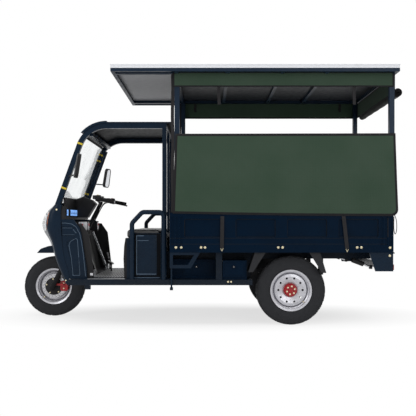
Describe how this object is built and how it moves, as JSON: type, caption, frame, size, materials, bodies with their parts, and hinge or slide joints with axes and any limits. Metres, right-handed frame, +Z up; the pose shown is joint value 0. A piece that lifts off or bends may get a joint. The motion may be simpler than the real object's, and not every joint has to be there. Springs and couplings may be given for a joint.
{
  "type": "three-wheeled electric cargo rickshaw",
  "caption": "Three-wheeled electric cargo rickshaw with an open cab, a steel load bed, a flat roof on posts and green canvas sides.",
  "frame": {"origin": "on the ground, in the middle of the length and on the centre line", "axes": "+X towards the rear, +Y towards the right side, +Z up; the front points along -X"},
  "size_m": [3.235, 1.4332, 2.093],
  "materials": {
    "paint_navy": "gloss dark blue paint",
    "paint_steel_blue": "semi-gloss blue-grey paint",
    "paint_black": "semi-gloss black paint",
    "roof_white": "satin white sheet",
    "plastic_black": "grained black plastic",
    "lamp_clear": "clear lamp cover",
    "lamp_red": "red lamp cover",
    "glass_clear": "clear",
    "tyre_rubber": "moulded",
    "rubber_black": "soft matte",
    "rim_silver": "silver paint",
    "hub_red": "gloss red paint",
    "steel": "bright",
    "chrome": "polished",
    "iron_black": "painted black",
    "canvas_green": "coated canvas",
    "webbing": "woven strap",
    "seat_vinyl": "vinyl cover"
  },
  "bodies": {
    "root": {"battery_boxes": "paint_navy", "bed_floor": "paint_navy", "bed_front_wall": "paint_navy", "bed_side_left": "paint_navy", "bed_side_right": "paint_navy", "brake_pedal": "paint_black", "cab_cross_bars": "paint_black", "cab_hoop_left": "paint_navy", "cab_hoop_right": "paint_navy", "cab_roof": "paint_navy", "canopy_frame": "paint_steel_blue", "chassis_frame": "paint_black", "curtain_roll": "canvas_green", "dash_stays": "chrome", "dashboard": "plastic_black", "floor_plate": "paint_navy", "headlamps": "lamp_clear", "inner_panel": "plastic_black", "leaf_springs": "iron_black", "leg_shield_left": "paint_navy", "leg_shield_right": "paint_navy", "mirrors": "plastic_black", "nose_fairing": "paint_navy", "rear_axle": "iron_black", "rear_bumper": "paint_steel_blue", "rear_mudguards": "plastic_black", "roof_panel": "roof_white", "seat_box": "paint_navy", "seat_front_cover": "plastic_black", "seat_guards": "paint_black", "side_canvas_left": "canvas_green", "side_canvas_right": "canvas_green", "steering_neck": "paint_black", "step_brackets": "paint_steel_blue", "switch_boxes": "plastic_black", "tail_lamps": "lamp_red", "valances": "canvas_green", "webbing_straps": "webbing", "windscreen": "glass_clear"},
    "steering": {"fork": "chrome", "handlebar": "chrome", "grips": "rubber_black", "front_mudguard": "paint_navy", "brake_caliper": "hub_red", "front_axle": "steel"},
    "front_wheel": {"front_tyre": "tyre_rubber", "front_rim": "rim_silver", "brake_disc": "steel"},
    "rear_left_wheel": {"rear_left_tyre": "tyre_rubber", "rear_left_rim": "rim_silver", "rear_left_hub": "hub_red"},
    "rear_right_wheel": {"rear_right_tyre": "tyre_rubber", "rear_right_rim": "rim_silver", "rear_right_hub": "hub_red"},
    "tailgate": {"tailgate": "paint_navy"},
    "seat": {"seat_cushion": "seat_vinyl"},
    "front_battery_door": {"battery_door_front": "paint_navy"},
    "rear_battery_door": {"battery_door_rear": "paint_navy"}
  },
  "joints": [
    {"name": "steer", "type": "hinge", "parent": "root", "child": "steering", "pos_m": [-1.12061, 0, 0.65642], "axis": [0.454, 0, 0.891], "range_deg": [-35, 35]},
    {"name": "front_spin", "type": "hinge", "parent": "steering", "child": "front_wheel", "pos_m": [-1.3495, 0, 0.268], "axis": [0, 1, 0], "continuous": true},
    {"name": "rear_left_spin", "type": "hinge", "parent": "root", "child": "rear_left_wheel", "pos_m": [0.7155, -0.4535, 0.285], "axis": [0, 1, 0], "continuous": true},
    {"name": "rear_right_spin", "type": "hinge", "parent": "root", "child": "rear_right_wheel", "pos_m": [0.7155, 0.4535, 0.285], "axis": [0, 1, 0], "continuous": true},
    {"name": "tailgate_drop", "type": "hinge", "parent": "root", "child": "tailgate", "pos_m": [1.5375, 0, 0.616], "axis": [0, 1, 0], "range_deg": [0, 90]},
    {"name": "seat_lift", "type": "hinge", "parent": "root", "child": "seat", "pos_m": [-0.6455, 0, 0.7143], "axis": [0, -1, 0], "range_deg": [0, 45]},
    {"name": "front_battery_open", "type": "hinge", "parent": "root", "child": "front_battery_door", "pos_m": [-0.0385, -0.4083, 0.3993], "axis": [1, 0, 0], "range_deg": [0, 90]},
    {"name": "rear_battery_open", "type": "hinge", "parent": "root", "child": "rear_battery_door", "pos_m": [0.2473, -0.5533, 0.3993], "axis": [1, 0, 0], "range_deg": [0, 90]}
  ]
}
